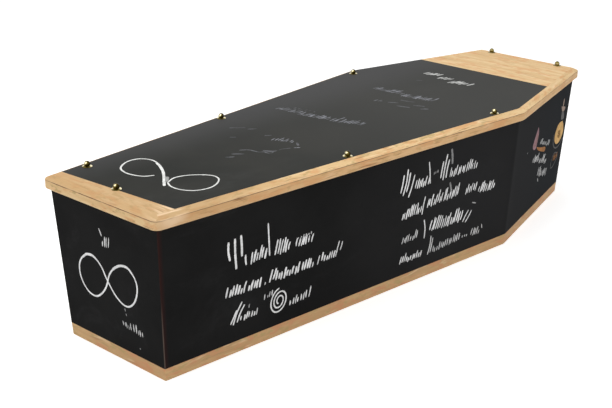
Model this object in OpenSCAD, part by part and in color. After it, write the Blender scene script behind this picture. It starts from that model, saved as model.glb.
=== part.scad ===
/*
  Six-sided wooden coffin, closed.
  The frame: origin on the underside at the centre of the whole length and
  width, +X towards the head, +Y towards the left-hand side, +Z up.
  A base board carries two long side boards, each bent at the shoulder, with
  a foot board and a head board between them. All four walls lean outwards.
  A thick bevelled lid rests on the walls and overhangs them a little. Eight
  ball-headed screws stand in the lid.
*/

/* [Body] */
// Length of the base, foot end to head end
base_length = 1760; // [1480:10:2120]
// Width of the base at the foot end
foot_width = 348; // [280:2:420]
// Width of the base at the shoulders
shoulder_width = 590; // [490:2:760]
// Width of the base at the head end
head_width = 334; // [280:2:420]
// Distance of the shoulders from the foot end
shoulder_from_foot = 1244; // [1000:4:1400]
// Height of the body, floor to the underside of the lid
body_height = 394; // [300:2:480]

/* [Boards] */
// Thickness of the base board, seen as the bare band at the bottom
base_thick = 33; // [18:1:45]
// Thickness of the side, foot and head boards
board_thick = 20; // [15:1:30]
// How far the top of a side leans out past its foot
side_lean = 19; // [0:1:40]
// How far the top of the foot or head board leans out past its foot
end_lean = 25; // [0:1:40]
// Outer radius of the bend at the shoulders
bend_radius = 40; // [32:1:120]
// Flats that the bend is made of, between its saw cuts
bend_flats = 8; // [4:1:16]

/* [Lid] */
// Whole thickness of the lid
lid_thick = 32; // [24:1:45]
// Overhang of the lid past the top of the walls
lid_overhang = 14; // [2:1:24]
// Width of the bevel round the top of the lid, in plan
bevel_width = 20; // [6:1:26]
// Drop of the bevel
bevel_drop = 9; // [5:1:18]
// Plan radius of the lid's foot and head corners
lid_corner_radius = 20; // [6:1:60]
// Plan radius of the lid's shoulder corners
lid_shoulder_radius = 60; // [30:1:150]

/* [Lid screws] */
// Diameter of the ball knob
knob_d = 16; // [10:0.2:20]
// Diameter of the collar that sits on the lid
collar_d = 25; // [20:1:30]
// Height of the collar
collar_h = 2.6; // [1.5:0.1:5]
// Height of the knob's centre above the lid
knob_z = 6.4; // [5:0.1:14]
// Diameter of the screw shank
shank_d = 5; // [4:0.5:6]
// Length of the shank in the lid
shank_length = 20; // [12:1:22]
// Play of the shank in its hole, on the diameter
hole_play = 0.2; // [0.1:0.1:0.6]
// Least inset of the side screws from the lid's edge
side_screw_inset = 33; // [33:1:45]
// Inset of the head screws from the lid's head edge
head_screw_inset = 33; // [30:1:67]
// Half the distance between the two head screws
head_screw_half = 127; // [60:1:140]
// Inset of the single foot screw from the lid's foot edge
foot_screw_inset = 60; // [32:1:90]

/* [Hidden] */
// Side screws, three left and two right: distance from the foot end, and how
// much further in than the least inset each one stands
left_screws = [[73, 8], [580, 0], [1210, 11]];
right_screws = [[573, 0], [1152, 0]];
// Plan angles of the long and the short part of each side
long_angle = atan2((shoulder_width - foot_width) / 2, shoulder_from_foot);
short_angle = atan2((shoulder_width - head_width) / 2,
                    base_length - shoulder_from_foot);
// Lean of the walls, in degrees
side_tilt = atan2(side_lean, body_height);
end_tilt = atan2(end_lean, body_height);
// The shoulder's slanted line: half the bend, its plan bearing, its tilt
half_bend = (long_angle + short_angle) / 2;
bend_bearing = -90 + (short_angle - long_angle) / 2;
bend_tilt = atan(tan(side_tilt) / cos(half_bend));
half_section = asin(sin(half_bend) * cos(side_tilt));
// Lid planes and offsets from the base's outline
lid_top = body_height + lid_thick;
lid_side = side_lean + lid_overhang;
lid_end = end_lean + lid_overhang;
reach = 2 * base_length;
deep = 1000;

// Half width of the base's outline, moved out by s, along each straight
function long_half(x, s) =
    foot_width / 2 + x * tan(long_angle) + s / cos(long_angle);
function short_half(x, s) =
    head_width / 2 + (base_length - x) * tan(short_angle) + s / cos(short_angle);
// Where the two straights meet when both are moved out by s
function shoulder_x(s) =
    (short_half(0, s) - long_half(0, s)) / (tan(long_angle) + tan(short_angle));
// Corner centres on the right-hand side, for corners of radius r inside the
// outline moved out by s at the sides and e at the ends
function foot_corner(s, e, r) = [r - e, -long_half(r - e, s - r)];
function shoulder_corner(s, r) =
    [shoulder_x(s - r), -long_half(shoulder_x(s - r), s - r)];
function head_corner(s, e, r) =
    [base_length + e - r, -short_half(base_length + e - r, s - r)];

// Screw places: three left, two right, two at the head, one at the foot
function side_screw(s, side) =
    [s[0], side * long_half(s[0], lid_side - side_screw_inset - s[1])];
head_screw_x = base_length + lid_end - head_screw_inset;
foot_screw_x = foot_screw_inset - lid_end;
screws = [
    side_screw(left_screws[0], 1),
    side_screw(left_screws[1], 1),
    side_screw(left_screws[2], 1),
    [head_screw_x, head_screw_half],
    [head_screw_x, -head_screw_half],
    side_screw(right_screws[1], -1),
    side_screw(right_screws[0], -1),
    [foot_screw_x, 0]
];

// Moves a shape drawn from the foot end to the part's own frame
module centred() translate([-base_length / 2, 0, 0]) children();

// A level layer, from z1 up to z2
module layer(z1, z2)
    translate([-deep, -deep, z1])
        cube([base_length + 2 * deep, 2 * deep, z2 - z1]);

// A plan point turned by an angle about the bend's centre
function turned(p, a) = [p[0] * cos(a) - p[1] * sin(a), p[0] * sin(a) + p[1] * cos(a)];

// Everything inside the right-hand side's face, set in by t. Both of its
// planes hold the slanted shoulder line, so it is one prism along that line.
module inside_right(t) {
    r = bend_radius - t;
    bend = [for (k = [0 : bend_flats])
                turned([r, 0], half_section * (2 * k / bend_flats - 1))];
    translate([shoulder_from_foot, -shoulder_width / 2, 0])
        rotate([0, 0, bend_bearing])
            rotate([0, bend_tilt, 0])
                translate([-bend_radius / cos(half_section), 0, -deep / 4])
                    linear_extrude(deep)
                        polygon(concat([turned([r - deep, -reach], -half_section),
                                        turned([r, -reach], -half_section)],
                                       bend,
                                       [turned([r, reach], half_section),
                                        turned([r - deep, reach], half_section)]));
}

module inside_left(t) mirror([0, 1, 0]) inside_right(t);

// Everything inside the foot board's or the head board's face, set in by t
module inside_foot(t)
    rotate([0, -end_tilt, 0])
        translate([t, -deep, -deep / 4])
            cube([reach, 2 * deep, deep]);

module inside_head(t)
    translate([base_length, 0, 0])
        rotate([0, end_tilt, 0])
            translate([-t - reach, -deep, -deep / 4])
                cube([reach, 2 * deep, deep]);

// The base: the whole outline, its edges following the lean of the walls
module base_board()
    color([0.75, 0.58, 0.41])
        centred()
            intersection() {
                layer(0, base_thick);
                inside_right(0);
                inside_left(0);
                inside_foot(0);
                inside_head(0);
            }

// The bent right-hand side, full length, standing on the base
module side_board_shape()
    difference() {
        intersection() {
            layer(base_thick, body_height);
            inside_right(0);
            inside_foot(0);
            inside_head(0);
            translate([-deep, -deep, 0])
                cube([base_length + 2 * deep, deep - board_thick, deep]);
        }
        inside_right(board_thick);
    }

module right_side_board()
    color([0.12, 0.12, 0.11]) centred() side_board_shape();

module left_side_board()
    color([0.12, 0.12, 0.11]) centred() mirror([0, 1, 0]) side_board_shape();

// Foot and head boards, cut to fit between the sides
module foot_board()
    color([0.12, 0.12, 0.11])
        centred()
            difference() {
                intersection() {
                    layer(base_thick, body_height);
                    inside_right(board_thick);
                    inside_left(board_thick);
                    inside_foot(0);
                }
                inside_foot(board_thick);
            }

module head_board()
    color([0.12, 0.12, 0.11])
        centred()
            difference() {
                intersection() {
                    layer(base_thick, body_height);
                    inside_right(board_thick);
                    inside_left(board_thick);
                    inside_head(0);
                }
                inside_head(board_thick);
            }

// The six corners of the lid between two levels, all set in from its edge
module lid_corners(inset, z1, z2) {
    s = lid_side - inset;
    e = lid_end - inset;
    r = max(lid_corner_radius - inset, 2);
    q = max(lid_shoulder_radius - inset, 2);
    for (m = [0, 1])
        mirror([0, m, 0])
            for (c = [[foot_corner(s, e, r), r],
                      [shoulder_corner(s, q), q],
                      [head_corner(s, e, r), r]])
                translate([c[0][0], c[0][1], z1])
                    cylinder(r = c[1], h = z2 - z1, $fn = 48);
}

// The lid, with a blind hole for each screw
module lid()
    color([0.87, 0.72, 0.53])
        centred()
            difference() {
                hull() {
                    lid_corners(0, body_height, lid_top - bevel_drop);
                    lid_corners(bevel_width, lid_top - bevel_drop, lid_top);
                }
                for (p = screws)
                    translate([p[0], p[1], lid_top - shank_length - 1])
                        cylinder(d = shank_d + hole_play,
                                 h = shank_length + 2, $fn = 32);
            }

// A screw: shank, low conical collar, and a ball knob cut off at the lid
module lid_screw(i)
    color([0.72, 0.6, 0.28])
        centred()
            translate([screws[i][0], screws[i][1], lid_top]) {
                translate([0, 0, -shank_length])
                    cylinder(d = shank_d, h = shank_length + 1, $fn = 32);
                cylinder(d = collar_d, h = collar_h / 2, $fn = 48);
                translate([0, 0, collar_h / 2])
                    cylinder(d1 = collar_d, d2 = knob_d, h = collar_h / 2, $fn = 48);
                intersection() {
                    translate([0, 0, knob_z])
                        sphere(d = knob_d, $fn = 48);
                    cylinder(d = collar_d, h = knob_z + knob_d, $fn = 48);
                }
            }

base_board();
right_side_board();
left_side_board();
foot_board();
head_board();
lid();
lid_screw(0);  // lid_screw_1
lid_screw(1);  // lid_screw_2
lid_screw(2);  // lid_screw_3
lid_screw(3);  // lid_screw_4
lid_screw(4);  // lid_screw_5
lid_screw(5);  // lid_screw_6
lid_screw(6);  // lid_screw_7
lid_screw(7);  // lid_screw_8
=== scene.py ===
"""Looks of a closed six-sided wooden coffin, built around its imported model.

The walls and most of the lid are painted with chalkboard paint and carry
chalk strokes. The lid's rim and head end, and the base, are bare wood.
"""
import math
import random

import bmesh
import bpy
from mathutils import Matrix, Vector, geometry, noise


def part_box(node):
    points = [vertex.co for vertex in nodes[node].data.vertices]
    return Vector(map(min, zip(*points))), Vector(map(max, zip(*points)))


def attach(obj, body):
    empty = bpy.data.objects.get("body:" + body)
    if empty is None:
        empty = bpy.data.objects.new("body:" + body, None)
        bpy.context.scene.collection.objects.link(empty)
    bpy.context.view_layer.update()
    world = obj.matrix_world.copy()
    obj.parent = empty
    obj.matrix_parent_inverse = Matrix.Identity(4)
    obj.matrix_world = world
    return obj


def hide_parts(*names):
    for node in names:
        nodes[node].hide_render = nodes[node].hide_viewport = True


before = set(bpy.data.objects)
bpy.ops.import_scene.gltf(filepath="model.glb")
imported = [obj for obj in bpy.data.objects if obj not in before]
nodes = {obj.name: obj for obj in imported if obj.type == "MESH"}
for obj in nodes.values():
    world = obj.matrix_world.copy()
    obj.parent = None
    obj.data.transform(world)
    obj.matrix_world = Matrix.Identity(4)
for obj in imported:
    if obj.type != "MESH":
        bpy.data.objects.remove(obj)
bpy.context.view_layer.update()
MM = 0.001
TINY = 1e-5

lid_low, lid_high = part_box("lid")
LID_UNDER = lid_low.z
LID_TOP = lid_high.z


# --- camera

CAMERA_PLACE = Vector((-2.4254, -1.9719, 1.3530))
CAMERA_YAW = 0.7256
CAMERA_PITCH = -0.3681
CAMERA_ROLL = 0.015
CAMERA_LENS = 67.84
CAMERA_SENSOR = 36.0
FARTHEST_SEEN = 100.0


def make_camera():
    data = bpy.data.cameras.new("camera")
    data.lens = CAMERA_LENS
    data.sensor_width = CAMERA_SENSOR
    data.clip_end = FARTHEST_SEEN
    camera = bpy.data.objects.new("camera", data)
    heading = Matrix.Rotation(CAMERA_YAW - math.pi / 2, 4, "Z")
    tilt = Matrix.Rotation(math.pi / 2 + CAMERA_PITCH, 4, "X")
    roll = Matrix.Rotation(CAMERA_ROLL, 4, "Z")
    camera.matrix_world = Matrix.Translation(CAMERA_PLACE) @ heading @ tilt @ roll
    bpy.context.scene.collection.objects.link(camera)
    bpy.context.scene.camera = camera


# --- node graphs

WHITE = (1, 1, 1, 1)


def srgb(red, green, blue):
    """A colour written as 0 to 255 values, as Blender's linear colour."""
    def linear(c):
        c /= 255
        return c / 12.92 if c <= 0.04045 else ((c + 0.055) / 1.055) ** 2.4
    return (linear(red), linear(green), linear(blue), 1.0)


class Graph:
    """A material with one Principled shader, and short ways to add nodes."""

    # Where an RGBA mix node has its share, its two colours and its result
    MIX_SHARE, MIX_FIRST, MIX_SECOND, MIX_RESULT = 0, 6, 7, 2

    def __init__(self, name, roughness=0.6, metallic=0.0, specular=0.5):
        self.material = bpy.data.materials.new(name)
        self.material.use_nodes = True
        self.tree = self.material.node_tree
        self.tree.nodes.clear()
        self.shader = self.tree.nodes.new("ShaderNodeBsdfPrincipled")
        self.shader.inputs["Roughness"].default_value = roughness
        self.shader.inputs["Metallic"].default_value = metallic
        self.shader.inputs["Specular IOR Level"].default_value = specular
        output = self.tree.nodes.new("ShaderNodeOutputMaterial")
        self.tree.links.new(self.shader.outputs[0], output.inputs["Surface"])

    def put(self, socket, value):
        if isinstance(value, bpy.types.NodeSocket):
            self.tree.links.new(value, socket)
        else:
            socket.default_value = value

    def add(self, kind, inputs=None, **settings):
        made = self.tree.nodes.new("ShaderNode" + kind)
        for key, value in settings.items():
            setattr(made, key, value)
        for key, value in (inputs or {}).items():
            self.put(made.inputs[key], value)
        return made

    def place(self):
        """Where a point is, in metres, in the part's own frame."""
        return self.add("TexCoord").outputs["Object"]

    def stored(self, name, kind="Fac"):
        return self.add("Attribute", attribute_name=name).outputs[kind]

    def noise(self, vector, scale, detail=3.0, rough=0.55, warp=0.0, move=(0, 0, 0)):
        """Noise; its scale is one number, or three where it is stretched."""
        if isinstance(scale, tuple):
            mapped = self.add("Mapping", {"Vector": vector, "Scale": scale, "Location": move})
            vector, scale = mapped.outputs["Vector"], 1.0
        made = self.add("TexNoise", {"Vector": vector, "Scale": scale, "Detail": detail,
                                     "Roughness": rough, "Distortion": warp})
        return made.outputs["Fac"]

    def span(self, value, low, high, to_low=0.0, to_high=1.0):
        """value between low and high, spread smoothly over to_low to to_high."""
        made = self.add("MapRange", {"Value": value, "From Min": low, "From Max": high,
                                     "To Min": to_low, "To Max": to_high},
                        interpolation_type="SMOOTHSTEP")
        return made.outputs["Result"]

    def math(self, operation, first, second):
        made = self.add("Math", operation=operation)
        self.put(made.inputs[0], first)
        self.put(made.inputs[1], second)
        return made.outputs[0]

    def times(self, first, second):
        return self.math("MULTIPLY", first, second)

    def plus(self, first, second):
        return self.math("ADD", first, second)

    def mix(self, share, first, second):
        made = self.add("Mix", data_type="RGBA")
        self.put(made.inputs[self.MIX_SHARE], share)
        self.put(made.inputs[self.MIX_FIRST], first)
        self.put(made.inputs[self.MIX_SECOND], second)
        return made.outputs[self.MIX_RESULT]

    def axes(self, vector):
        return self.add("SeparateXYZ", {"Vector": vector}).outputs

    def finish(self, colour, height=None, depth=0.0, strength=0.0, roughness=None):
        self.put(self.shader.inputs["Base Color"], colour)
        if roughness is not None:
            self.put(self.shader.inputs["Roughness"], roughness)
        if height is not None:
            bump = self.add("Bump", {"Height": height, "Distance": depth,
                                     "Strength": strength})
            self.put(self.shader.inputs["Normal"], bump.outputs["Normal"])
        return self.material


# --- materials

# Where the painted highlight on the lid's near corner lies, and how far it reaches
HIGHLIGHT_CORNER = (-0.872, -0.190, 0.426)
HIGHLIGHT_REACH = 0.06
WOOD_SHINE = srgb(246, 218, 176)
WOOD_SHADED = srgb(178, 140, 96)
WOOD_CREASE = srgb(108, 68, 41)
WOOD_CORNER_HIGHLIGHT = srgb(252, 222, 184)
WOOD_WEAR_AND_HIGHLIGHT = srgb(240, 212, 172)


def bare_wood(name, pale, middle, dark, blush, olive, foot_shade_strength=0.0, streaked=0.85):
    """Planed pale wood, handled and a little dirty, calmer towards the head,
    with painted shade towards the foot and on the side-facing lower edges,
    and a painted highlight at the lid's near corner. Its grain runs along
    the first axis of "grain"."""
    graph = Graph(name, roughness=0.6, specular=0.2)
    grain = graph.stored("grain", "Vector")
    drift = graph.times(graph.noise(grain, 5.0, detail=2.0), 0.035)
    shift = graph.add("CombineXYZ", {"Y": drift}).outputs[0]
    bent = graph.add("VectorMath", {0: grain, 1: shift}, operation="ADD").outputs[0]
    bands = graph.noise(bent, (3.5, 60, 60), detail=4.0, rough=0.6)
    fibres = graph.noise(bent, (18, 520, 520), rough=0.7)
    streaks = graph.noise(bent, (8, 170, 170), warp=0.3)
    clouds = graph.noise(grain, (19, 55, 55), rough=0.6)
    stains = graph.noise(grain, (24, 62, 62), rough=0.65, move=(4, 7, 1))
    shines = graph.noise(bent, (13, 90, 90), detail=2.0, move=(8, 2, 6))
    where = graph.noise(grain, (7, 18, 18), detail=2.0, move=(2, 3, 5))

    # The planed wood itself, with painted shade towards the foot and on the side-facing lower
    # edges
    colour = graph.mix(graph.span(bands, 0.36, 0.64, 0.1, 0.85), pale, middle)
    along = graph.axes(graph.place())[0]
    busy = graph.span(along, 0.10, 0.60, 1, 0.35)
    stained = graph.times(graph.span(stains, 0.53, 0.66, 0, 0.8), busy)
    colour = graph.mix(graph.span(clouds, 0.48, 0.64, 0, 0.8), colour, blush)
    colour = graph.mix(stained, colour, olive)
    colour = graph.mix(graph.span(shines, 0.58, 0.72, 0, 0.55), colour, WOOD_SHINE)
    # Painted shade: darker towards the foot on the lid's top and its side-facing edges
    shade_toward_foot = graph.times(graph.span(along, -0.45, -0.80, 0, foot_shade_strength), graph.stored("shaded_at_foot"))
    colour = graph.mix(shade_toward_foot, colour, WOOD_SHADED)
    # Painted shade: browner where "under" marks the lower edges that face the sides
    colour = graph.mix(graph.times(graph.stored("under"), 0.48), colour, blush)
    marked = graph.times(graph.span(streaks, 0.57, 0.68), graph.span(where, 0.40, 0.58))
    marked = graph.times(marked, busy)
    colour = graph.mix(graph.times(marked, streaked), colour, dark)
    colour = graph.mix(graph.span(fibres, 0.35, 0.8, 0, 0.35), colour, middle)

    # The dark broken line along the crease, a painted highlight at the near corner, and paler
    # edges: worn on the base, a painted highlight on the lid's arrises
    broken = graph.noise(grain, (16, 3, 3), detail=2.0)
    line = graph.times(graph.stored("crease"), graph.span(broken, 0.30, 0.56, 0.35, 1.0))
    colour = graph.mix(line, colour, WOOD_CREASE)
    # A painted highlight at the lid's near corner, in its paler bands
    away = graph.add("VectorMath", {0: graph.place(), 1: HIGHLIGHT_CORNER}, operation="DISTANCE")
    close = graph.span(away.outputs["Value"], HIGHLIGHT_REACH / 4, HIGHLIGHT_REACH, 0.75, 0)
    corner_highlight = graph.times(close, graph.span(bands, 0.42, 0.54))
    colour = graph.mix(corner_highlight, colour, WOOD_CORNER_HIGHLIGHT)
    # Paler edges: worn on the base, a painted highlight on the lid's arrises
    colour = graph.mix(graph.times(graph.stored("wear_and_highlight"), 0.45), colour, WOOD_WEAR_AND_HIGHLIGHT)
    height = graph.plus(fibres, graph.times(bands, 1.5))
    return graph.finish(colour, height, depth=0.0004, strength=0.35)


CHALK_DUST = srgb(150, 150, 152)
TINT_STRENGTH = 0.6


def paint_colour(graph, low, high, tints):
    """The mottled near-black of chalkboard paint, with faint rubbed dust. Each
    tint sets in between two places along or across the part."""
    place = graph.place()
    clouds = graph.noise(place, 3.2, detail=4.0)
    colour = graph.mix(graph.span(clouds, 0.35, 0.68), low, high)
    wiped = graph.noise(place, (2.2, 6, 6), detail=5.0, rough=0.65, warp=0.6)
    dust = graph.noise(place, 60.0)
    haze = graph.times(graph.span(wiped, 0.52, 0.8, 0, 0.045),
                       graph.span(dust, 0.3, 0.7, 0.4, 1.0))
    colour = graph.mix(haze, colour, CHALK_DUST)
    axes = graph.axes(place)
    for axis, start, end, tint in tints:
        share = graph.span(axes[axis], start, end, 0, TINT_STRENGTH)
        colour = graph.mix(share, colour, tint)
    return colour


BARED_LOW, BARED_HIGH = srgb(112, 98, 90), srgb(56, 34, 31)
CORNER_STAIN = srgb(46, 29, 27)


def chalkboard(name, low, high, tints, specular):
    """Flat black chalkboard paint, rubbed through along its rounded corners,
    paler low down than high up, and stained beside them."""
    graph = Graph(name, roughness=0.75, specular=specular)
    colour = paint_colour(graph, low, high, tints)
    place = graph.place()
    upward = graph.span(graph.axes(place)[2], 0.10, 0.24)
    shown = graph.mix(upward, BARED_LOW, BARED_HIGH)
    patchy = graph.noise(place, (40, 40, 11), detail=4.0, rough=0.7)
    worn = graph.times(graph.stored("wear_and_highlight"), graph.span(patchy, 0.3, 0.6, 0.15, 0.6))
    stained = graph.times(graph.stored("stain"), graph.span(patchy, 0.2, 0.6, 0.5, 1.0))
    colour = graph.mix(stained, colour, CORNER_STAIN)
    colour = graph.mix(worn, colour, shown)
    stipple = graph.noise(place, 420.0, detail=2.0)
    return graph.finish(colour, stipple, depth=0.0003, strength=0.2)


def chalk(name, colour, low, high, tints, kept=0.85):
    """A chalk stroke, broken by the paint's tooth, fading out at its sides.
    kept is how much of it is left where it was rubbed."""
    graph = Graph(name, roughness=0.9, specular=0.05)
    under = paint_colour(graph, low, high, tints)
    place = graph.place()
    tooth = graph.noise(place, 520.0, detail=2.0, rough=0.7)
    blotch = graph.noise(place, 90.0)
    held = graph.plus(graph.stored("body"), graph.times(tooth, 0.5))
    held = graph.plus(held, graph.times(blotch, 0.25))
    covered = graph.times(graph.span(held, 0.48, 0.78), graph.stored("pressure"))
    smudged = graph.noise(place, 42.0)
    covered = graph.times(covered, graph.span(smudged, 0.44, 0.58, kept, 1.0))
    return graph.finish(graph.mix(covered, under, colour))


BRIGHT_BRASS, DULL_BRASS = srgb(250, 238, 196), srgb(112, 98, 40)
BLACK_BRASS, BRASS_SPECK = srgb(44, 38, 14), srgb(70, 58, 24)


def brass():
    """Brass, from bright to black, as each point's stored value says: tarnished, with painted
    highlights, painted shade and painted dark reflections.
    """
    graph = Graph("aged_brass_with_reflections", roughness=0.25, metallic=1.0)
    place = graph.place()
    clouds = graph.noise(place, 130.0, detail=4.0, warp=0.4)
    specks = graph.noise(place, 900.0, detail=2.0)
    shaded = graph.plus(graph.stored("tarnish_and_reflection"), graph.times(clouds, 0.9))
    colour = graph.mix(graph.span(shaded, 0.50, 0.95), BRIGHT_BRASS, DULL_BRASS)
    colour = graph.mix(graph.span(shaded, 0.90, 1.30), colour, BLACK_BRASS)
    colour = graph.mix(graph.span(specks, 0.60, 0.75, 0, 0.5), colour, BRASS_SPECK)
    rough = graph.span(clouds, 0.35, 0.7, 0.2, 0.45)
    return graph.finish(colour, specks, depth=0.0002, strength=0.2, roughness=rough)


ALONG, ACROSS = 0, 1
# Each paint's darkest and palest tone and its tints: axis, start, end, colour
ON_SIDES = (srgb(24, 24, 24), srgb(31, 31, 31),
            ((ALONG, -0.50, 0.20, srgb(44, 44, 45)),
             (ALONG, 0.33, 0.42, srgb(23, 24, 26)),
             (ALONG, 0.42, 0.80, srgb(24, 28, 32))))
# On the lid the tints are painted light: the paint turns lighter from the foot towards the
# middle, and towards the left-hand side
ON_LID = (srgb(42, 43, 41), srgb(50, 50, 47),
          ((ALONG, -0.80, 0.30, srgb(74, 74, 72)),
           (ACROSS, 0.04, 0.26, srgb(78, 78, 79))))

LID_WOOD = bare_wood("lid_wood", srgb(236, 205, 156), srgb(219, 182, 130),
                     srgb(146, 100, 60), srgb(220, 164, 112), srgb(186, 160, 108),
                     foot_shade_strength=0.60)
BASE_WOOD = bare_wood("base_wood", srgb(210, 170, 114), srgb(192, 143, 92),
                      srgb(148, 102, 64), srgb(208, 130, 84), srgb(174, 150, 86),
                      streaked=0.5)
SIDE_PAINT = chalkboard("chalkboard_sides", *ON_SIDES, specular=0.03)
LID_PAINT = chalkboard("chalkboard_lid", *ON_LID, specular=0.06)


# --- meshes

def add_object(name, bm, materials):
    mesh = bpy.data.meshes.new(name)
    bm.to_mesh(mesh)
    bm.free()
    for material in materials:
        mesh.materials.append(material)
    piece = bpy.data.objects.new(name, mesh)
    bpy.context.scene.collection.objects.link(piece)
    return piece


def vertex_values(bm, name):
    return bm.verts.layers.float.get(name) or bm.verts.layers.float.new(name)


def bridge(bm, first, second):
    """Joins two rings of as many points by a belt of faces, and returns them."""
    made = []
    for k in range(len(first)):
        j = (k + 1) % len(first)
        made.append(bm.faces.new((first[k], first[j], second[j], second[k])))
    return made


def lay_grain(bm, rule):
    """Stores where each corner lies along and across the grain."""
    layer = bm.loops.layers.float_vector.new("grain")
    for face in bm.faces:
        for loop in face.loops:
            loop[layer] = rule(face, loop.vert.co)


SAME_PLANE = math.radians(0.4)


def cad_copy(node):
    """The CAD node's mesh, welded, with its flat faces whole."""
    bm = bmesh.new()
    bm.from_mesh(nodes[node].data)
    bmesh.ops.remove_doubles(bm, verts=bm.verts, dist=TINY)
    bmesh.ops.dissolve_limit(bm, angle_limit=SAME_PLANE, verts=bm.verts, edges=bm.edges,
                             delimit=set())
    return bm


def round_edges(bm, edges, width, segments, wear_and_highlight):
    """Rounds some edges and marks the middle of each round as worn."""
    layer = vertex_values(bm, "wear_and_highlight")
    made = bmesh.ops.bevel(bm, geom=edges, offset=width, offset_type="OFFSET",
                           segments=segments, profile=0.5, affect="EDGES",
                           clamp_overlap=True)
    new = set(made["faces"])
    for vert in {v for face in new for v in face.verts}:
        if sum(face in new for face in vert.link_faces) > 1:
            vert[layer] = wear_and_highlight


SHARP = 30    # degrees


def is_sharp(edge, degrees=SHARP):
    return len(edge.link_faces) == 2 and edge.calc_face_angle() > math.radians(degrees)


def shade(piece, degrees=SHARP):
    """Smooth shading, but for the edges that are really sharp."""
    for polygon in piece.data.polygons:
        polygon.use_smooth = True
    bm = bmesh.new()
    bm.from_mesh(piece.data)
    for edge in bm.edges:
        edge.smooth = not is_sharp(edge, degrees)
    bm.to_mesh(piece.data)
    bm.free()
    weighted = piece.modifiers.new("weighted_normals", "WEIGHTED_NORMAL")
    weighted.keep_sharp = True


def hold(piece, *replaced, slot=None):
    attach(piece, "root")
    if replaced:
        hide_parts(*replaced)


# --- lid

OUTLINE_STEP = 5 * MM
CORNER_ROOM = 19 * MM   # an inset past this slides the corner's round inwards
# Inset from the outline and height above the underside, bottom to top
LID_PROFILE = [(3.2, 0), (1.5, 0.45), (0.45, 1.5), (0, 3.2), (0, 12), (0, 20.2),
               (0.15, 21.0), (0.9, 21.7), (0.95, 22.2), (0.25, 22.7), (0.7, 23.3),
               (1.6, 24.0), (6, 26.0), (12, 28.7), (18, 31.2), (19.2, 31.6),
               (20.2, 31.85), (21.8, 32)]
CREASE_ROWS = (7, 8)
WIDE_CREASE_ROW = 6     # dark too where the edge faces the foot
WIDE_CREASE = 0.8
HIGHLIGHT_ROWS = (2, 9, 10)
LID_EDGE_HIGHLIGHT = 0.6
SIDE_FOOT_SHADE = 0.7      # how strongly the side edges take the painted shade towards the foot, beside the lid's top
# How far the edge is worn back on the whole, and how much that varies
WORN_BACK = 0.25 * MM
WAVER = 0.2 * MM
ROUGH_PITCH = Vector((30, 30, 200))
SOFT_PITCH = Vector((7, 7, 50))
SOFT_SHIFT = Vector((0, 0, 9))
CHIP_REACH = 30 * MM
CHIP_DEPTH = 2 * MM
# The painted field's foot border runs slightly askew, its head border square
FOOT_BORDER = (Vector((-0.873, 0.187, 0)), Vector((-0.851, -0.187, 0)))
HEAD_BORDER_X = 0.634
LONG_EDGE = 50 * MM
SAME_PLACE = 0.1 * MM
BARE, PAINTED = 0, 1    # the material slots of the lid and the walls
LEVEL = 0.99            # a face whose normal rises more than this lies flat
FACES_DOWN = -0.9
GRAIN_APART = 2.7       # keeps the grain of the two sides unlike
LID_SHARP = 35


def outward(start, end):
    along = (end - start).normalized()
    return Vector((along.y, -along.x))


def lid_outline():
    """The lid's outline as corners, anticlockwise, and as close points. Each
    close point has its outward normal, and the pull that a unit inset of the
    long edges beside it gives it."""
    low = [v.co.to_2d() for v in nodes["lid"].data.vertices if v.co.z < LID_UNDER + TINY]
    ring = [low[i] for i in geometry.convex_hull_2d(low)]
    if sum(a.x * b.y - b.x * a.y for a, b in zip(ring, ring[1:] + ring[:1])) < 0:
        ring.reverse()
    ring = [here for last, here in zip([ring[-1]] + ring, ring)
            if (here - last).length > SAME_PLACE]
    count = len(ring)
    edges = [(ring[i], ring[(i + 1) % count]) for i in range(count)]
    is_long = [(b - a).length > LONG_EDGE for a, b in edges]

    def pull_at(i):
        """For the corner before edge i."""
        back = next(i - k for k in range(1, count) if is_long[(i - k) % count])
        ahead = next(i + k for k in range(count) if is_long[(i + k) % count])
        first = outward(*edges[back % count])
        second = outward(*edges[ahead % count])
        return (first + second) / (1 + first.dot(second))

    points = []
    for i, (here, after) in enumerate(edges):
        normal = outward(here, after)
        corner = (outward(*edges[i - 1]) + normal).normalized()
        points.append((here, corner, pull_at(i)))
        parts = max(1, round((after - here).length / OUTLINE_STEP))
        pull = normal if is_long[i] else pull_at(i)
        points += [(here.lerp(after, k / parts), normal, pull) for k in range(1, parts)]
    return ring, points


def side_lines(ring):
    """The long and the short straight edge of the right-hand side, each as its
    outward normal and its reach along that."""
    edges = sorted(zip(ring, ring[1:] + ring[:1]), key=lambda e: (e[0] - e[1]).length)
    right = [e for e in edges if e[0].y < 0 and e[1].y < 0][-2:]
    return [(outward(a, b), outward(a, b).dot(a)) for a, b in right]


def worn_back(point, height, near):
    """How far the lid's edge is worn back at a point, most of all close to
    near, its chipped corner."""
    place = Vector((point.x, point.y, height))
    rough = noise.noise(place * ROUGH_PITCH)
    soft = noise.noise(place * SOFT_PITCH + SOFT_SHIFT)
    chip = math.exp(-((point - near).length / CHIP_REACH) ** 2) * max(0, rough) * CHIP_DEPTH
    return WORN_BACK + WAVER * (rough + soft) + chip


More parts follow.
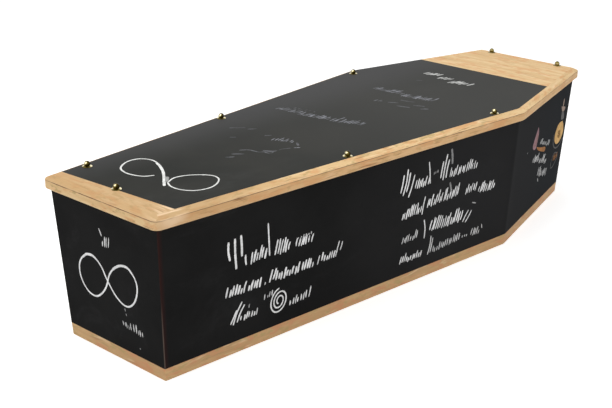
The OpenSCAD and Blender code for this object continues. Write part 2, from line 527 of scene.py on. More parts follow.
def make_lid():
    ring, outline = lid_outline()
    lines = side_lines(ring)
    near = min(ring, key=lambda p: (p - Vector((lid_low.x, lid_low.y / 2))).length)
    bm = bmesh.new()
    crease = vertex_values(bm, "crease")
    wear_and_highlight = vertex_values(bm, "wear_and_highlight")
    under = vertex_values(bm, "under")
    shaded_at_foot = vertex_values(bm, "shaded_at_foot")
    rings = []
    for row, (inset, height) in enumerate(LID_PROFILE):
        made = []
        for point, normal, pull in outline:
            depth = inset * MM + worn_back(point, height * MM, near)
            flat = point - normal * min(depth, CORNER_ROOM)
            flat -= pull * max(0, depth - CORNER_ROOM)
            vert = bm.verts.new((flat.x, flat.y, LID_UNDER + height * MM))
            to_foot = max(0, -normal.x)
            vert[crease] = 1.0 if row in CREASE_ROWS else 0.0
            if row == WIDE_CREASE_ROW:
                vert[crease] = WIDE_CREASE * to_foot
            # A painted highlight along the lower arris and the arris above the crease
            vert[wear_and_highlight] = LID_EDGE_HIGHLIGHT if row in HIGHLIGHT_ROWS else 0.0
            # Painted shade: the lower edge rows that face the sides are browner
            vert[under] = 1 - abs(normal.x) if row < CREASE_ROWS[0] else 0.0
            # Painted shade towards the foot, on the top rows and on the edges that face the
            # sides
            vert[shaded_at_foot] = 1.0 if row > CREASE_ROWS[-1] else SIDE_FOOT_SHADE * (1 - to_foot)
            made.append(vert)
        rings.append(made)
    for lower, upper in zip(rings, rings[1:]):
        for face in bridge(bm, lower, upper):
            face.material_index = PAINTED if upper is rings[-1] else BARE
    bm.faces.new(list(reversed(rings[0])))
    bm.faces.new(rings[-1]).material_index = PAINTED

    left, right = FOOT_BORDER
    foot_out = outward(left, right).to_3d()
    cut_planes = ((left, foot_out), (Vector((HEAD_BORDER_X, 0, 0)), Vector((1, 0, 0))))
    for place, direction in cut_planes:
        everything = bm.verts[:] + bm.edges[:] + bm.faces[:]
        bmesh.ops.bisect_plane(bm, geom=everything, dist=TINY, plane_co=place,
                               plane_no=direction)

    def inset_of(co):
        return min(reach - out.dot(Vector((co.x, -abs(co.y)))) for out, reach in lines)

    for face in bm.faces:
        centre = face.calc_center_median()
        if any((centre - place).dot(direction) > 0 for place, direction in cut_planes):
            face.material_index = BARE

    def grain(face, co):
        if face.normal.z < FACES_DOWN:
            return co
        end_rail = abs(face.normal.x) > abs(face.normal.y)
        if end_rail or face.normal.z > LEVEL:
            return Vector((co.y, co.x, co.z))
        return Vector((co.x, inset_of(co) + math.copysign(GRAIN_APART, co.y), co.z))

    bm.normal_update()
    lay_grain(bm, grain)
    piece = add_object("lid_board", bm, [LID_WOOD, LID_PAINT])
    drill_screw_holes(piece)
    shade(piece, LID_SHARP)
    hold(piece, "lid", slot="lid_wood")


def screw_axis(number):
    low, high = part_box(f"lid_screw_{number}")
    return Vector(((low.x + high.x) / 2, (low.y + high.y) / 2, LID_TOP))


SCREWS = range(1, 9)
HEAD_SCREWS = (4, 5)
HOLE_RADIUS = 2.6 * MM
HOLE_DEPTH = 21 * MM
CUT_ABOVE = 2 * MM


def drill_screw_holes(lid):
    """Cuts the blind hole of each screw, through the lid's top."""
    bm = bmesh.new()
    for number in SCREWS:
        top = screw_axis(number) + Vector((0, 0, CUT_ABOVE))
        length = HOLE_DEPTH + CUT_ABOVE
        where = Matrix.Translation(top - Vector((0, 0, length / 2)))
        bmesh.ops.create_cone(bm, cap_ends=True, segments=24, radius1=HOLE_RADIUS,
                              radius2=HOLE_RADIUS, depth=length, matrix=where)
    cutter = add_object("hole_cutter", bm, [])
    cut = lid.modifiers.new("screw_holes", "BOOLEAN")
    cut.object = cutter
    cut.operation = "DIFFERENCE"
    cut.solver = "EXACT"
    settled = bpy.data.meshes.new_from_object(
        lid.evaluated_get(bpy.context.evaluated_depsgraph_get()))
    lid.modifiers.clear()
    lid.data = settled
    bpy.data.objects.remove(cutter)


# --- boards

WALL_ROUND = 2.4 * MM
BASE_ROUND = 3.5 * MM
SMALL_ROUND = 1.2 * MM
RIM_WEAR = 0.5
STAIN_WIDTH = 13 * MM
# How far a normal leans to an end, to a side or upright at least, to count
FACES_END = 0.7
OUTER_END, OUTER_SIDE = 0.6, 0.3
STANDS = 0.9


def face_turn(face, co):
    """Grain along the length, but across it on the end faces."""
    if abs(face.normal.x) > FACES_END:
        return Vector((co.y, co.z, co.x))
    return Vector((co.x, co.z, co.y))


def is_upright(edge):
    a, b = (v.co for v in edge.verts)
    return abs((b - a).normalized().z) > STANDS


def make_base():
    bm = cad_copy("base_board")
    corners = [e for e in bm.edges if is_upright(e) and is_sharp(e)]
    round_edges(bm, corners, BASE_ROUND, 6, 0.0)
    rims = [e for e in bm.edges if is_sharp(e)]
    round_edges(bm, rims, SMALL_ROUND, 3, RIM_WEAR)
    vertex_values(bm, "crease")
    bm.normal_update()
    lay_grain(bm, face_turn)
    piece = add_object("base", bm, [BASE_WOOD])
    shade(piece)
    hold(piece, "base_board", slot="bare_wood")


def stain_corner(bm):
    """Marks the side's face just behind its rounded foot corner as stained."""
    slope = max(nodes["foot_board"].data.polygons, key=lambda p: -p.normal.x * p.area)
    behind = slope.center - slope.normal * STAIN_WIDTH
    everything = bm.verts[:] + bm.edges[:] + bm.faces[:]
    bmesh.ops.bisect_plane(bm, geom=everything, dist=TINY, plane_co=behind,
                           plane_no=slope.normal)
    layer = vertex_values(bm, "stain")
    for vert in bm.verts:
        depth = slope.normal.dot(slope.center - vert.co)
        if WALL_ROUND / 2 < depth < WALL_ROUND * 2:
            vert[layer] = 1.0


def make_wall(name, node, is_painted, has_corners=False):
    """A painted wall board, bare inside. is_painted says by its normal if a face
    is painted. A board that runs through to the coffin's corners has them
    rounded, rubbed and stained."""
    bm = cad_copy(node)
    bm.normal_update()
    if has_corners:
        corners = [e for e in bm.edges if is_upright(e) and is_sharp(e)
                   and all(is_painted(f.normal) for f in e.link_faces)]
        round_edges(bm, corners, WALL_ROUND, 4, 1.0)
        stain_corner(bm)
    for value in ("wear_and_highlight", "stain", "crease"):
        vertex_values(bm, value)
    bm.normal_update()
    for face in bm.faces:
        face.material_index = PAINTED if is_painted(face.normal) else BARE
    lay_grain(bm, face_turn)
    piece = add_object(name, bm, [BASE_WOOD, SIDE_PAINT])
    shade(piece)
    hold(piece, node, slot="black_chalkboard_paint")


# --- screws

# Radius and height above the lid, in millimetres, up to the ball
SHANK = [(0, -20), (2.1, -20), (2.5, -19.4), (2.5, 0.02)]
COLLAR = [(11.9, 0.02), (12.35, 0.3), (12.5, 0.8), (12.2, 1.25), (10.9, 1.6), (9.2, 2.0),
          (8.2, 2.35), (7.6, 2.6), (7.25, 2.85)]
BALL_RADIUS = 8
BALL_CENTRE = 6.4
NECK_ANGLE = math.radians(-26)
# Painted light on the screws: the ball shaded on one side and at its crown, the collar darkened
# in front as a dark reflection, and a highlight spot painted on the ball
SHADED_SIDE = Vector((0.55, -0.83, 0))
DARK_REFLECTION_FRONT = Vector((-0.78, -0.63, 0))
HIGHLIGHT_SPOT = Vector((-0.67, -0.32, 0.66))
HIGHLIGHT_POWER = 14       # the higher, the smaller the painted highlight spot
CROWN_START = 0.72
SCREW_SIDES = 48
BALL_STEPS = 24
SCREW_SHARP = 60


def tarnish_and_reflection_at(number, around, radius, height):
    """How dark a screw is at a point: tarnished, with painted shade, painted dark
    reflections and a painted highlight. Its ball is darker at the crown and most on
    one side, with a highlight spot, and its collar is darker in front. The screws at
    the head are evenly darker."""
    facing = (around * radius + Vector((0, 0, height - BALL_CENTRE))).normalized()
    crown = max(0, facing.z - CROWN_START)
    if number in HEAD_SCREWS:
        return 0.40 + crown
    if height <= COLLAR[-1][1]:
        return 0.7 * max(0, around.dot(DARK_REFLECTION_FRONT))
    turned = around.dot(SHADED_SIDE) * min(1, radius / BALL_RADIUS)
    # rubbed is a painted highlight spot; crown and turned paint shade on the ball
    rubbed = max(0, facing.dot(HIGHLIGHT_SPOT)) ** HIGHLIGHT_POWER
    return 0.60 + 0.35 * turned + 1.4 * crown - 0.6 * rubbed


def make_screw(number, material):
    """A turned screw, from the tip of its shank to the crown of its ball."""
    ball = []
    for k in range(BALL_STEPS):
        angle = NECK_ANGLE + (math.pi / 2 - NECK_ANGLE) * k / BALL_STEPS
        ball.append((BALL_RADIUS * math.cos(angle), BALL_CENTRE + BALL_RADIUS * math.sin(angle)))
    profile = SHANK + COLLAR + ball
    axis = screw_axis(number)
    bm = bmesh.new()
    tarnish_and_reflection = vertex_values(bm, "tarnish_and_reflection")
    rows = []
    for radius, height in profile[1:]:
        row = []
        for k in range(SCREW_SIDES):
            turn = 2 * math.pi * k / SCREW_SIDES
            around = Vector((math.cos(turn), math.sin(turn), 0))
            vert = bm.verts.new(axis + around * radius * MM + Vector((0, 0, height * MM)))
            vert[tarnish_and_reflection] = tarnish_and_reflection_at(number, around, radius, height)
            row.append(vert)
        rows.append(row)
    for lower, upper in zip(rows, rows[1:]):
        bridge(bm, lower, upper)
    bottom = bm.verts.new(axis + Vector((0, 0, profile[0][1] * MM)))
    top = bm.verts.new(axis + Vector((0, 0, (BALL_CENTRE + BALL_RADIUS) * MM)))
    for k in range(SCREW_SIDES):
        j = (k + 1) % SCREW_SIDES
        bm.faces.new((bottom, rows[0][j], rows[0][k]))
        bm.faces.new((top, rows[-1][k], rows[-1][j]))
    piece = add_object(f"brass_screw_{number}", bm, [material])
    shade(piece, SCREW_SHARP)
    hold(piece, f"lid_screw_{number}", slot="brass")


# --- chalk strokes

PROUD = 0.25 * MM   # a stroke stands this far off the paint
SUNK = 0.15 * MM    # its edges reach this far into it
LIFTS = 7           # strokes that cross stand off by one of so many heights
LIFT_STEP = 0.02
PATCH_LIFT = 0.6    # a filled patch stands lower than a stroke
FACES_ALIKE = 0.98
PATH_STEP, PATCH_STEP = 2.0, 3.0    # mm between the points of a curve
ARC_STEP = 18                       # degrees between the points of an arc
TALLNESSES = (0.55, 0.75, 0.9, 1.05)


class Plane:
    """A flat painted face. A place on it is two of its coordinates in mm."""

    def __init__(self, node, facing, axes):
        facing = Vector(facing).normalized()
        flats = [p for p in nodes[node].data.polygons if p.normal.dot(facing) > FACES_ALIKE]
        best = max(flats, key=lambda p: p.area)
        self.normal = best.normal.copy()
        self.point = best.center.copy()
        self.axes = axes

    def at(self, u, v):
        """The point of the face that has these two coordinates."""
        place = Vector((0, 0, 0))
        place[self.axes[0]] = u * MM
        place[self.axes[1]] = v * MM
        third = 3 - sum(self.axes)
        lacking = self.normal.dot(self.point - place)
        place[third] = lacking / self.normal[third]
        return place


def smooth_path(points, step=PATH_STEP):
    """A smooth curve through some points, as closely spaced points."""
    pts = [Vector(p) for p in points]
    if len(pts) == 2:
        count = max(2, int((pts[1] - pts[0]).length / step))
        return [pts[0].lerp(pts[1], k / count) for k in range(count + 1)]
    padded = [2 * pts[0] - pts[1]] + pts + [2 * pts[-1] - pts[-2]]
    curve = []
    for i in range(len(pts) - 1):
        a, b, c, d = padded[i:i + 4]
        count = max(2, int((c - b).length / step))
        for k in range(count):
            t = k / count
            curve.append(0.5 * (2 * b + (c - a) * t + (2 * a - 5 * b + 4 * c - d) * t * t
                                + (3 * b - a - 3 * c + d) * t ** 3))
    curve.append(pts[-1])
    return curve


class Marks:
    """Strokes on one face, gathered into one mesh."""

    # Across a stroke: place, height and body
    SECTION = ((-1, -1.0, 0.0), (-0.6, 0.7, 0.75), (0, 1.0, 1.0), (0.6, 0.7, 0.75),
               (1, -1.0, 0.0))

    def __init__(self, name, plane, seed):
        self.name = name
        self.plane = plane
        self.bm = bmesh.new()
        self.body = vertex_values(self.bm, "body")
        self.pressure = vertex_values(self.bm, "pressure")
        self.random = random.Random(seed)
        self.layer = 0

    def next_lift(self, share=1):
        self.layer += 1
        return PROUD * (share + LIFT_STEP * (self.layer % LIFTS))

    def stroke(self, points, width, press, taper=0.35, closed=False):
        """One drag of the chalk along points, width in mm."""
        if closed:
            points = list(points) + [points[0]]
        on_face = [self.plane.at(*p) for p in smooth_path(points)]
        normal = self.plane.normal
        lift = self.next_lift()
        rings = []
        count = len(on_face)
        for i, here in enumerate(on_face):
            ahead = on_face[min(i + 1, count - 1)] - on_face[max(i - 1, 0)]
            across = normal.cross(ahead).normalized()
            share = i / max(1, count - 1)
            ends = min(1.0, min(share, 1 - share) * count / 3)
            thick = width * (1 - taper * (1 - ends)) * (1 + 0.12 * self.random.uniform(-1, 1))
            force = press * (1 - 0.25 * (1 - ends)) * (1 + 0.1 * self.random.uniform(-1, 1))
            ring = []
            for offset, height, body in self.SECTION:
                level = lift * height if height > 0 else SUNK * height
                vert = self.bm.verts.new(here + across * offset * thick / 2 * MM
                                         + normal * level)
                vert[self.body] = body
                vert[self.pressure] = min(1.0, force)
                ring.append(vert)
            rings.append(ring)
        for first, second in zip(rings, rings[1:]):
            bridge(self.bm, first, second)
        self.bm.faces.new(list(reversed(rings[0])))
        self.bm.faces.new(rings[-1])

    def wobble(self, amount):
        return self.random.uniform(-amount, amount)

    def hatch(self, start, end, height, width, press=1.2, pitch=8.5, lean=0.22):
        """A run of separate short strokes that all lean alike, pitch mm apart.
        They stand on the line from start to end, on its left-hand side."""
        first, last = Vector(start), Vector(end)
        along = (last - first).normalized()
        up = Vector((-along.y, along.x))
        count = max(2, round((last - first).length / pitch))
        for k in range(count):
            foot = first.lerp(last, (k + 0.5 + self.wobble(0.18)) / count)
            foot += up * self.wobble(0.10) * height
            tall = height * self.random.choice(TALLNESSES)
            tip = foot + (up + along * (lean + self.wobble(0.06))) * tall
            middle = foot.lerp(tip, 0.5) + along * self.wobble(0.05) * height
            self.stroke([foot, middle, tip], width * self.random.uniform(0.8, 1.25),
                        press * self.random.uniform(0.75, 1.08))

    def slashes(self, width, press, *pairs):
        """Single strokes, each from its foot to its tip, bowed a little."""
        for foot, tip in pairs:
            first, last = Vector(foot), Vector(tip)
            along = last - first
            bow = Vector((-along.y, along.x)) * self.wobble(0.06)
            self.stroke([first, first.lerp(last, 0.5) + bow, last], width, press, 0.2)

    def arc(self, centre, radii, start, end, width, press, turn=0.0, shrink=0.0):
        """Part of an oval, or a spiral if it shrinks. Angles in degrees."""
        points = []
        steps = max(6, int(abs(end - start) / ARC_STEP))
        for k in range(steps + 1):
            share = k / steps
            angle = math.radians(start + (end - start) * share)
            size = 1 - shrink * share
            u = radii[0] * size * math.cos(angle)
            v = radii[1] * size * math.sin(angle)
            c, s = math.cos(math.radians(turn)), math.sin(math.radians(turn))
            points.append((centre[0] + u * c - v * s, centre[1] + u * s + v * c))
        self.stroke(points, width, press)

    def patch(self, outline, press):
        """A filled, rubbed-in area with a smooth outline."""
        ring = smooth_path(outline + outline[:1], PATCH_STEP)[:-1]
        centre = sum(ring, Vector((0, 0))) / len(ring)
        normal = self.plane.normal
        lift = self.next_lift(PATCH_LIFT)
        rings = []
        # From the outline inwards: size, height and body
        for share, height, body in ((1.0, -SUNK, 0.0), (0.86, lift * 0.8, 0.8),
                                    (0.65, lift, 1.0), (0.3, lift, 1.0)):
            row = []
            for p in ring:
                place = self.plane.at(*centre.lerp(p, share))
                vert = self.bm.verts.new(place + normal * height)
                vert[self.body] = body
                vert[self.pressure] = press
                row.append(vert)
            rings.append(row)
        for outer, inner in zip(rings, rings[1:]):
            bridge(self.bm, outer, inner)
        self.bm.faces.new(rings[-1])
        self.bm.faces.new(list(reversed(rings[0])))

    def make(self, material):
        bmesh.ops.recalc_face_normals(self.bm, faces=self.bm.faces)
        piece = add_object(self.name, self.bm, [material])
        for polygon in piece.data.polygons:
            polygon.use_smooth = True
        hold(piece)


def foot_marks(plane, white):
    marks = Marks("chalk_foot_loops", plane, seed=3)
    loops = [(56, 254), (38, 247), (22, 231), (12, 212), (2, 197), (-11, 180), (-27, 166),
             (-47, 157), (-67, 160), (-86, 177), (-99, 204), (-101, 229), (-91, 249),
             (-74, 261), (-54, 261), (-35, 253), (-16, 239), (-2, 221), (6, 203),
             (15, 184), (34, 161), (58, 146), (84, 149), (103, 167), (112, 190),
             (110, 216), (97, 237), (77, 251)]
    marks.stroke(loops, 5.8, 1.0, 0.0, closed=True)
    marks.stroke([(97, 237), (77, 252), (56, 255), (38, 248)], 7.2, 1.0)
    marks.stroke([(-16, 240), (-35, 254), (-54, 262), (-74, 262), (-90, 250)], 7.4, 1.0)
    # A few ticks at the top, short strokes and dots at the bottom
    marks.slashes(4.6, 0.85, ((11, 318), (19, 336)))
    marks.hatch((-14, 296), (14, 294), 26, 3.8, 0.8, 8.0, lean=-0.2)
    marks.hatch((-108, 90), (-72, 97), 22, 3.6, 0.8, 7.0)
    marks.hatch((-68, 96), (-34, 99), 20, 3.6, 0.8, 7.0)
    marks.slashes(3.6, 0.45, ((-50, 142), (-48, 149)), ((-52, 130), (-51, 136)),
                  ((-92, 54), (-91, 58)))
    marks.make(white)


def side_marks_left(plane, white):
    marks = Marks("chalk_side_rows_near_foot", plane, seed=5)
    # Upper row: bold tall strokes, short ones, and one very tall stroke
    marks.slashes(7.6, 1.0, ((-677, 229), (-684, 310)), ((-697, 256), (-703, 306)),
                  ((-661, 258), (-666, 314)))
    marks.slashes(6.4, 1.0, ((-647, 231), (-650, 259)))
    marks.hatch((-636, 231), (-586, 234), 35, 6.0)
    marks.slashes(5.2, 1.0, ((-574, 234), (-583, 323)))
    marks.hatch((-562, 230), (-510, 231), 37, 5.8)
    marks.hatch((-494, 233), (-434, 233), 24, 5.6)
    marks.hatch((-486, 254), (-434, 254), 7, 5.0, 0.8)
    # Middle row: bold short strokes, a gap, more of them, then a fainter run
    marks.hatch((-710, 160), (-656, 158), 26, 7.0)
    marks.slashes(6.0, 1.0, ((-652, 158), (-644, 188)))
    marks.hatch((-642, 158), (-598, 159), 25, 7.0)
    marks.slashes(5.0, 0.9, ((-586, 159), (-584, 166)))
    marks.slashes(6.2, 1.0, ((-571, 161), (-562, 194)), ((-560, 166), (-550, 194)))
    marks.hatch((-556, 159), (-474, 160), 28, 7.0, 1.2, 9.0)
    marks.hatch((-468, 160), (-426, 160), 25, 6.6)
    marks.slashes(4.8, 0.85, ((-412, 162), (-405, 186)))
    marks.hatch((-402, 167), (-344, 166), 22, 5.4, 1.12)
    marks.slashes(4.8, 0.8, ((-346, 182), (-338, 208)), ((-334, 180), (-327, 204)))
    # Lower row: long and short strokes, a large spiral, short strokes
    marks.slashes(5.6, 1.1, ((-690, 84), (-672, 118)), ((-682, 80), (-656, 136)),
                  ((-670, 84), (-648, 126)))
    marks.hatch((-662, 84), (-604, 84), 21, 5.4, 1.12)
    marks.slashes(4.0, 0.6, ((-634, 112), (-632, 122)))
    marks.hatch((-588, 118), (-556, 122), 14, 4.4, 0.8)
    marks.arc((-536, 100), (29, 36), 110, 990, 5.2, 0.95, turn=-14, shrink=0.8)
    marks.hatch((-504, 74), (-442, 78), 23, 5.4, 1.12)
    marks.slashes(4.8, 0.9, ((-436, 78), (-430, 108)))
    marks.make(white)


def side_marks_middle(plane, white):
    marks = Marks("chalk_side_rows_near_shoulder", plane, seed=7)
    # First row: two groups of tall strokes, each with short ones behind it
    marks.slashes(6.0, 1.1, ((-120, 284), (-112, 334)), ((-110, 274), (-98, 348)),
                  ((-98, 282), (-88, 336)))
    marks.slashes(5.4, 1.0, ((-88, 264), (-70, 326)))
    marks.hatch((-68, 282), (-10, 282), 31, 5.2)
    marks.slashes(5.0, 1.0, ((-4, 284), (-16, 350)))
    marks.hatch((4, 306), (26, 310), 10, 4.0, 0.5)
    marks.slashes(6.0, 1.1, ((38, 290), (44, 338)), ((48, 282), (58, 356)),
                  ((60, 286), (68, 338)))
    marks.slashes(9.0, 0.3, ((82, 322), (73, 368)))
    marks.hatch((72, 284), (192, 286), 31, 5.2)
    # Second row: dense upright strokes
    marks.hatch((-110, 202), (-30, 206), 32, 5.4, 1.2, 8.0)
    marks.slashes(5.0, 0.95, ((-26, 198), (-18, 250)))
    marks.hatch((-12, 216), (122, 219), 34, 5.2, 1.12)
    marks.slashes(8.0, 0.3, ((92, 228), (80, 268)))
    marks.hatch((150, 216), (198, 217), 35, 5.2, 1.12)
    marks.hatch((206, 206), (280, 200), 29, 5.4, 1.12)
    # Third row: a tall slash between two runs, slanting strokes at the end
    marks.hatch((-102, 130), (-36, 131), 25, 5.0, 0.9)
    marks.slashes(5.2, 1.0, ((-7, 122), (-14, 180)))
    marks.hatch((8, 138), (146, 134), 38, 5.6)
    marks.slashes(5.0, 0.95, ((154, 128), (176, 160)), ((166, 124), (190, 156)))
    marks.slashes(4.0, 0.5, ((188, 180), (206, 174)))
    # Fourth row: hatching, a tall stroke, dots and a tick
    marks.hatch((-104, 70), (-14, 68), 25, 5.6)
    marks.slashes(4.8, 0.8, ((14, 66), (22, 122)), ((24, 70), (31, 114)))
    marks.hatch((30, 68), (150, 74), 23, 4.8, 0.85)
    marks.slashes(4.8, 0.85, ((160, 78), (162, 84)), ((170, 78), (172, 84)),
                  ((179, 77), (181, 83)))
    marks.hatch((194, 74), (236, 72), 23, 4.8, 0.85)
    marks.slashes(4.2, 0.7, ((248, 84), (244, 98)))
    marks.make(white)


def head_marks(plane, white, colours):
    rows = Marks("chalk_side_rows_near_head", plane, seed=9)
    rows.hatch((612, 246), (716, 210), 21, 6.6, 0.95, 12.5)
    rows.hatch((552, 206), (706, 152), 28, 6.6, 0.95, 12.5)
    rows.hatch((624, 134), (728, 106), 30, 6.4, 0.9, 13)
    rows.slashes(5.0, 0.7, ((650, 108), (640, 122)))
    rows.slashes(4.0, 0.5, ((490, 250), (492, 254)))
    rows.make(white)
    bar = Marks("picture_slanted_bar", plane, seed=11)
    bar.patch([(576, 316), (563, 300), (549, 281), (537, 257), (552, 242), (574, 240),
               (582, 258), (588, 290)], press=0.75)
    bar.make(colours["mauve"])
    wedge = Marks("picture_wedge", plane, seed=12)
    wedge.patch([(576, 248), (624, 232), (684, 216), (676, 202), (602, 228)], press=0.7)
    wedge.slashes(5.0, 0.4, ((548, 252), (578, 296)), ((560, 250), (584, 284)))
    wedge.make(colours["orange"])
    oval = Marks("picture_oval", plane, seed=13)
    oval.patch([(848, 262), (804, 261), (777, 236), (779, 207), (806, 186), (846, 186),
                (876, 210), (868, 242)], press=1.0)
    oval.make(colours["ochre"])
    blush = Marks("picture_oval_blush", plane, seed=19)
    blush.patch([(808, 242), (838, 236), (848, 206), (826, 196), (804, 214)], press=0.6)
    blush.make(colours["orange"])
    edge = Marks("picture_oval_edge", plane, seed=14)
    edge.arc((827, 222), (62, 49), 165, 320, 6.0, 0.6)
    edge.patch([(822, 298), (848, 290), (858, 264), (826, 268)], press=0.75)
    edge.stroke([(780, 112), (776, 136), (798, 158), (830, 152), (846, 134)], 5.0, 0.6)
    edge.stroke([(780, 112), (806, 112), (842, 132)], 5.0, 0.6)
    edge.make(colours["grey"])
    flame = Marks("picture_flame", plane, seed=16)
    flame.patch([(808, 318), (836, 311), (860, 303), (852, 292), (826, 296)], press=0.6)
    flame.slashes(9.0, 0.85, ((830, 312), (832, 338)))
    flame.make(colours["pink"])
    strokes = Marks("picture_lower_strokes", plane, seed=18)
    strokes.hatch((792, 132), (838, 132), 22, 8.0, 0.7, 11)
    strokes.make(colours["orange"])


def lid_marks(plane, white, faint):
    loops = Marks("chalk_lid_loops", plane, seed=21)
    loops.stroke([(-736, 9), (-757, 21), (-768, 42), (-772, 70), (-761, 103), (-732, 126),
                  (-700, 133), (-676, 121), (-667, 92), (-681, 53), (-705, 13),
                  (-737, -26), (-767, -61)], 5.8, 1.0, 0.2)
    loops.stroke([(-672, 75), (-684, 48), (-706, 12), (-737, -26), (-769, -63)], 9.0, 1.0)
    loops.stroke([(-748, -51), (-717, -38), (-688, -44), (-662, -62), (-642, -90),
                  (-646, -116), (-672, -138), (-706, -147), (-741, -135), (-759, -107),
                  (-760, -76)], 5.2, 1.0, 0.0, closed=True)
    loops.stroke([(-722, -20), (-748, -46)], 12.0, 0.4)
    loops.make(white)
    # Rows that run across the lid, rubbed half away
    rows = Marks("chalk_lid_faint_rows", plane, seed=22)
    rows.hatch((-128, 192), (-118, 112), 34, 5.4, 0.60, 9.0)
    rows.hatch((-126, 108), (-108, 10), 32, 5.4, 0.66, 8.0)
    rows.hatch((-108, 4), (-82, -88), 44, 5.4, 0.60, 8.0)
    rows.hatch((-92, 160), (-76, 84), 12, 5.0, 0.30, 12)
    rows.hatch((236, 128), (242, 24), 36, 5.6, 0.66, 8.0)
    rows.hatch((226, 18), (246, -86), 38, 5.6, 0.66, 8.0)
    rows.hatch((132, 44), (138, 12), 20, 6.0, 0.34, 12)
    rows.slashes(9.0, 0.24, ((150, 0), (168, -26)), ((196, -12), (206, -56)),
                 ((140, -40), (152, -78)), ((176, -72), (190, -104)))
    rows.slashes(8.0, 0.42, ((160, -110), (176, -126)))
    rows.slashes(8.0, 0.3, ((408, 90), (419, 76)))
    rows.make(faint)
    bold = Marks("chalk_lid_row_near_head", plane, seed=24)
    bold.hatch((486, 128), (498, 74), 34, 7.5, 0.8, 11, lean=0.5)
    bold.hatch((470, 62), (482, 18), 30, 7.0, 0.7, 13, lean=0.5)
    bold.hatch((452, 10), (472, -62), 40, 7.5, 0.8, 12, lean=0.5)
    bold.make(white)
    smears = Marks("chalk_lid_smears", plane, seed=23)
    smears.stroke([(-463, -2), (-444, -18), (-439, -46), (-428, -58), (-430, -76)], 4.6, 0.42)
    smears.stroke([(-424, -48), (-410, -68), (-398, -72)], 7.0, 0.5)
    smears.stroke([(-432, -62), (-420, -76), (-412, -70)], 5.0, 0.4)
    smears.stroke([(-392, -74), (-380, -74), (-358, -84)], 5.0, 0.24)
    smears.stroke([(-352, -88), (-338, -98)], 6.0, 0.6)
    smears.hatch((-346, 0), (-322, -58), 26, 5.0, 0.75, 8.0)
    smears.slashes(8.0, 0.4, ((-330, 36), (-314, 26)), ((-316, -66), (-330, -84)))
    smears.slashes(11.0, 0.16, ((-349, 151), (-316, 120)), ((-322, 108), (-300, 92)))
    smears.slashes(10.0, 0.28, ((-404, 92), (-392, 80)))
    smears.slashes(10.0, 0.22, ((-506, -30), (-526, -16)), ((-498, -10), (-474, -32)))
    smears.make(faint)


def make_chalk():
    white = chalk("white_chalk", srgb(252, 252, 252), *ON_SIDES)
    lid_white = chalk("white_chalk_on_lid", srgb(240, 241, 238), *ON_LID)
    lid_faint = chalk("rubbed_chalk_on_lid", srgb(164, 166, 174), *ON_LID, kept=0.45)
    coloured = {"mauve": srgb(190, 152, 160), "orange": srgb(206, 146, 96),
                "ochre": srgb(236, 192, 128), "grey": srgb(134, 132, 130),
                "pink": srgb(222, 196, 180)}
    colours = {name: chalk(name + "_chalk", colour, *ON_SIDES)
               for name, colour in coloured.items()}
    foot = Plane("foot_board", (-1, 0, 0), (1, 2))
    side = Plane("right_side_board", (-0.1, -1, 0), (0, 2))
    head = Plane("right_side_board", (0.25, -1, 0), (0, 2))
    top = Plane("lid", (0, 0, 1), (0, 1))
    foot_marks(foot, white)
    side_marks_left(side, white)
    side_marks_middle(side, white)
    head_marks(head, white, colours)
    lid_marks(top, lid_white, lid_faint)


# --- floor and lights

FLOOR_DROP = 0.2 * MM   # keeps the floor clear of the coffin's underside
FLOOR_HALF = 14
FLOOR_CELLS = 8
FLOOR_COLOUR = (0.8, 0.8, 0.8, 1)
FLOOR_LIFT = 0.62       # brings the lit floor up to white where it is seen
ROOM_LIGHT = 0.5
# Name, place, the point that it faces, size and power of each lamp
LAMPS = (("overhead", (-0.4, 0.5, 3.2), (0, 0, 0.3), 2.6, 50),
         ("from_foot", (-3.4, 0.4, 1.9), (-0.4, 0, 0.3), 1.8, 20),
         ("from_right", (-0.6, -3.6, 1.8), (0, 0, 0.3), 2.0, 26))


def white_glow(tree, kind, strength):
    made = tree.nodes.new("ShaderNode" + kind)
    made.inputs["Color"].default_value = WHITE
    made.inputs["Strength"].default_value = strength
    return made


def where_seen(tree, plain, seen, kind):
    """Puts out the second shader where it is seen, straight or in a glossy
    surface, and the plain one for all other light."""
    rays = tree.nodes.new("ShaderNodeLightPath")
    either = tree.nodes.new("ShaderNodeMath")
    either.operation = "MAXIMUM"
    choice = tree.nodes.new("ShaderNodeMixShader")
    output = tree.nodes.new("ShaderNodeOutput" + kind)
    tree.links.new(rays.outputs["Is Camera Ray"], either.inputs[0])
    tree.links.new(rays.outputs["Is Glossy Ray"], either.inputs[1])
    for socket, source in zip(choice.inputs, (either, plain, seen)):
        tree.links.new(source.outputs[0], socket)
    tree.links.new(choice.outputs[0], output.inputs["Surface"])


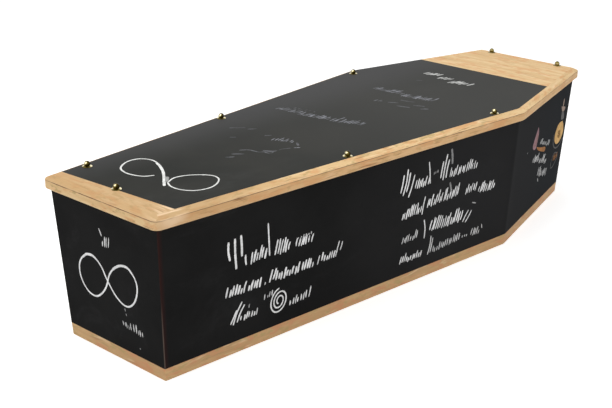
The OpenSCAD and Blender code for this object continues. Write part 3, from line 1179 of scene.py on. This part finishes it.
def make_floor():
    """A plain pale floor that keeps the shadow and otherwise shows white."""
    bm = bmesh.new()
    bmesh.ops.create_grid(bm, x_segments=FLOOR_CELLS, y_segments=FLOOR_CELLS,
                          size=FLOOR_HALF)
    bmesh.ops.translate(bm, verts=bm.verts, vec=(0, 0, -FLOOR_DROP))
    material = bpy.data.materials.new("pale_floor")
    material.use_nodes = True
    tree = material.node_tree
    tree.nodes.clear()
    matt = tree.nodes.new("ShaderNodeBsdfDiffuse")
    matt.inputs["Color"].default_value = FLOOR_COLOUR
    lifted = tree.nodes.new("ShaderNodeAddShader")
    tree.links.new(matt.outputs[0], lifted.inputs[0])
    tree.links.new(white_glow(tree, "Emission", FLOOR_LIFT).outputs[0], lifted.inputs[1])
    where_seen(tree, matt, lifted, "Material")
    add_object("floor", bm, [material])


def area_light(name, place, target, size, power):
    data = bpy.data.lights.new(name, "AREA")
    data.shape = "SQUARE"
    data.size = size
    data.energy = power
    lamp = bpy.data.objects.new(name, data)
    lamp.location = place
    aim = Vector(target) - Vector(place)
    lamp.rotation_euler = aim.to_track_quat("-Z", "Y").to_euler()
    bpy.context.scene.collection.objects.link(lamp)


def make_lights():
    for lamp in LAMPS:
        area_light(*lamp)
    world = bpy.data.worlds.new("world")
    world.use_nodes = True
    tree = world.node_tree
    tree.nodes.clear()
    where_seen(tree, white_glow(tree, "Background", ROOM_LIGHT),
               white_glow(tree, "Background", 1.0), "World")
    bpy.context.scene.world = world
    bpy.context.scene.view_settings.view_transform = "Standard"


# --- build

make_camera()
make_lid()
make_base()
make_wall("right_side", "right_side_board",
          lambda n: n.y < -OUTER_SIDE or abs(n.x) > OUTER_END, has_corners=True)
make_wall("left_side", "left_side_board",
          lambda n: n.y > OUTER_SIDE or abs(n.x) > OUTER_END, has_corners=True)
make_wall("foot_end", "foot_board", lambda n: n.x < -OUTER_END)
make_wall("head_end", "head_board", lambda n: n.x > OUTER_END)
BRASS = brass()
for screw_number in SCREWS:
    make_screw(screw_number, BRASS)
make_chalk()
make_floor()
make_lights()
